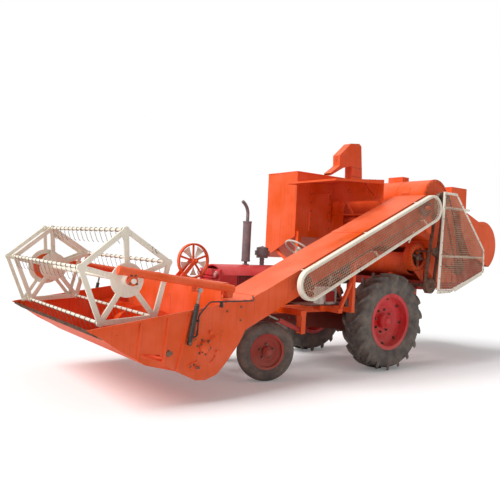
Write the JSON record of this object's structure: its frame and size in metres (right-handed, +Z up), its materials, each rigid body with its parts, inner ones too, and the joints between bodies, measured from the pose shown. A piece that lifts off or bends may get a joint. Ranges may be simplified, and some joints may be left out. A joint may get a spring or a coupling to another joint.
{
  "type": "tractor-mounted combine harvester",
  "caption": "Combine harvester carried on a farm tractor, with a five-bat tined reel, side feeder, transverse drum at the rear and a grain tank.",
  "frame": {"origin": "on the ground, under the middle of the whole machine's box", "axes": "+X forward, +Y to the machine's left, +Z up"},
  "size_m": [6.9565, 2.6789, 3.464],
  "materials": {
    "orange_paint": "semi-gloss enamel, faded and dusty",
    "cream_paint": "satin enamel, scuffed",
    "crimson_paint": "faded gloss enamel",
    "cast_iron": "old red paint and oily dirt",
    "tyre_rubber": "worn rubber",
    "rusty_steel": "rust-brown steel",
    "bare_steel": "worn bright steel",
    "black_paint": "satin black",
    "seat_vinyl": "black vinyl",
    "grey_paint": "pale grey enamel"
  },
  "bodies": {
    "chassis": {"tractor_body": "cast_iron", "engine_block": "cast_iron", "hood": "crimson_paint", "radiator_grille": "crimson_paint", "headlamps": "crimson_paint", "exhaust_stack": "rusty_steel", "air_precleaner": "rusty_steel", "steering_wheel": "black_paint", "driver_seat": "seat_vinyl", "battery_box": "grey_paint", "mounting_frame": "orange_paint", "driver_platform": "orange_paint", "front_axle": "cast_iron", "thresher_body": "orange_paint", "drum_housing": "orange_paint", "fan_housing": "orange_paint", "straw_hood": "orange_paint", "grain_elevator": "orange_paint", "grain_tank": "orange_paint", "canopy": "orange_paint", "rear_guard": "cream_paint", "main_drive": "rusty_steel"},
    "rear_wheel_l": {"rear_tyre_left": "tyre_rubber", "rear_wheel_left": "crimson_paint"},
    "rear_wheel_r": {"rear_tyre_right": "tyre_rubber", "rear_wheel_right": "crimson_paint"},
    "knuckle_l": {"knuckle_left": "cast_iron"},
    "knuckle_r": {"knuckle_right": "cast_iron"},
    "tie_rod": {"tie_rod": "rusty_steel"},
    "front_wheel_l": {"front_tyre_left": "tyre_rubber", "front_wheel_left": "crimson_paint"},
    "front_wheel_r": {"front_tyre_right": "tyre_rubber", "front_wheel_right": "crimson_paint"},
    "feeder_and_header": {"feeder_trough": "orange_paint", "feeder_cover": "orange_paint", "feeder_guard": "cream_paint", "feeder_drive": "rusty_steel", "header_trough": "orange_paint", "header_back": "orange_paint", "reel_hose": "black_paint", "header_side_left": "orange_paint", "header_side_right": "orange_paint", "header_beam": "orange_paint", "cutter_bar": "bare_steel"},
    "auger": {"header_auger": "orange_paint"},
    "drive_wheel": {"reel_drive_wheel": "orange_paint"},
    "fan": {"fan_rotor": "orange_paint"},
    "reel_arms": {"reel_arms": "orange_paint"},
    "reel": {"reel_frame": "cream_paint"},
    "eccentric": {"eccentric_spider": "cream_paint"},
    "reel_ram_barrel": {"reel_ram_barrels": "black_paint"},
    "reel_ram_rod": {"reel_ram_rods": "bare_steel"},
    "lift_barrel": {"lift_barrel": "black_paint"},
    "lift_rod": {"lift_rod": "bare_steel"},
    "bat_1": {"tine_bar_1": "cream_paint"},
    "bat_2": {"tine_bar_2": "cream_paint"},
    "bat_3": {"tine_bar_3": "cream_paint"},
    "bat_4": {"tine_bar_4": "cream_paint"},
    "bat_5": {"tine_bar_5": "cream_paint"}
  },
  "joints": [
    {"name": "rear_left_spin", "type": "hinge", "parent": "chassis", "child": "rear_wheel_l", "pos_m": [-1.18, 0.774, 0.683], "axis": [0, 1, 0], "continuous": true},
    {"name": "rear_right_spin", "type": "hinge", "parent": "chassis", "child": "rear_wheel_r", "pos_m": [-1.18, -0.774, 0.683], "axis": [0, 1, 0], "continuous": true},
    {"name": "steer_left", "type": "hinge", "parent": "chassis", "child": "knuckle_l", "pos_m": [0.79, 0.5, 0.368], "axis": [0, 0, 1], "range_deg": [-18.6, 51.4]},
    {"name": "steer_right", "type": "hinge", "parent": "chassis", "child": "knuckle_r", "pos_m": [0.79, -0.5, 0.368], "axis": [0, 0, 1], "range_deg": [-18.6, 51.4]},
    {"name": "tie_rod_slide", "type": "slide", "parent": "chassis", "child": "tie_rod", "axis": [0, 1, 0], "range_m": [-0.1291, 0.04672]},
    {"name": "front_left_spin", "type": "hinge", "parent": "knuckle_l", "child": "front_wheel_l", "pos_m": [0.82812, 0.62951, 0.368], "axis": [0.2823, 0.9593, 0], "continuous": true},
    {"name": "front_right_spin", "type": "hinge", "parent": "knuckle_r", "child": "front_wheel_r", "pos_m": [0.75188, -0.62951, 0.368], "axis": [0.2823, 0.9593, 0], "continuous": true},
    {"name": "header_lift", "type": "hinge", "parent": "chassis", "child": "feeder_and_header", "pos_m": [-1.46, 0, 2.3], "axis": [0, -1, 0], "range_deg": [-3.8, 3]},
    {"name": "lift_barrel_swing", "type": "hinge", "parent": "chassis", "child": "lift_barrel", "pos_m": [0.52, 0.91, 0.65], "axis": [0, -1, 0], "range_deg": [-12, 9.48]},
    {"name": "lift_rod_slide", "type": "slide", "parent": "lift_barrel", "child": "lift_rod", "axis": [0.9296, 0, 0.3685], "range_m": [-0.1456, 0.11497]},
    {"name": "reel_lift", "type": "hinge", "parent": "feeder_and_header", "child": "reel_arms", "pos_m": [1.77, 0, 1.125], "axis": [0, -1, 0], "range_deg": [0, 22]},
    {"name": "reel_ram_swing", "type": "hinge", "parent": "feeder_and_header", "child": "reel_ram_barrel", "pos_m": [2.3, 0, 0.66], "axis": [0, -1, 0], "range_deg": [-0.01, 1.86]},
    {"name": "reel_ram_slide", "type": "slide", "parent": "reel_ram_barrel", "child": "reel_ram_rod", "axis": [-0.1764, 0, 0.9843], "range_m": [-0.0001, 0.16651]},
    {"name": "reel_spin", "type": "hinge", "parent": "reel_arms", "child": "reel", "pos_m": [2.905, 0, 1.275], "axis": [0, 1, 0], "continuous": true},
    {"name": "eccentric_spin", "type": "hinge", "parent": "reel_arms", "child": "eccentric", "pos_m": [2.985, 0, 1.275], "axis": [0, 1, 0], "continuous": true},
    {"name": "bat_1_turn", "type": "hinge", "parent": "reel", "child": "bat_1", "pos_m": [2.93883, 0, 1.75882], "axis": [0, 1, 0], "continuous": true},
    {"name": "bat_2_turn", "type": "hinge", "parent": "reel", "child": "bat_2", "pos_m": [2.45532, 0, 1.45668], "axis": [0, 1, 0], "continuous": true},
    {"name": "bat_3_turn", "type": "hinge", "parent": "reel", "child": "bat_3", "pos_m": [2.59325, 0, 0.90347], "axis": [0, 1, 0], "continuous": true},
    {"name": "bat_4_turn", "type": "hinge", "parent": "reel", "child": "bat_4", "pos_m": [3.16201, 0, 0.8637], "axis": [0, 1, 0], "continuous": true},
    {"name": "bat_5_turn", "type": "hinge", "parent": "reel", "child": "bat_5", "pos_m": [3.37559, 0, 1.39233], "axis": [0, 1, 0], "continuous": true},
    {"name": "auger_spin", "type": "hinge", "parent": "feeder_and_header", "child": "auger", "pos_m": [2.1, 0, 0.6], "axis": [0, 1, 0], "continuous": true},
    {"name": "drive_wheel_spin", "type": "hinge", "parent": "feeder_and_header", "child": "drive_wheel", "pos_m": [1.595, 0.08, 1.44], "axis": [0, 1, 0], "continuous": true},
    {"name": "fan_spin", "type": "hinge", "parent": "chassis", "child": "fan", "pos_m": [-1.755, 0, 1.604], "axis": [0, 1, 0], "continuous": true}
  ],
  "couplings": [
    {"joint": "steer_right", "follows": "steer_left", "ratio": 1},
    {"joint": "tie_rod_slide", "follows": "steer_left", "m_per_rad": -0.1439},
    {"joint": "lift_barrel_swing", "follows": "header_lift", "ratio": 3.1554},
    {"joint": "lift_rod_slide", "follows": "header_lift", "m_per_rad": 2.1938},
    {"joint": "reel_ram_swing", "follows": "reel_lift", "ratio": 0.083879},
    {"joint": "reel_ram_slide", "follows": "reel_lift", "m_per_rad": 0.43339},
    {"joint": "eccentric_spin", "follows": "reel_spin", "ratio": 1},
    {"joint": "bat_1_turn", "follows": "reel_spin", "ratio": -1},
    {"joint": "bat_2_turn", "follows": "reel_spin", "ratio": -1},
    {"joint": "bat_3_turn", "follows": "reel_spin", "ratio": -1},
    {"joint": "bat_4_turn", "follows": "reel_spin", "ratio": -1},
    {"joint": "bat_5_turn", "follows": "reel_spin", "ratio": -1}
  ]
}
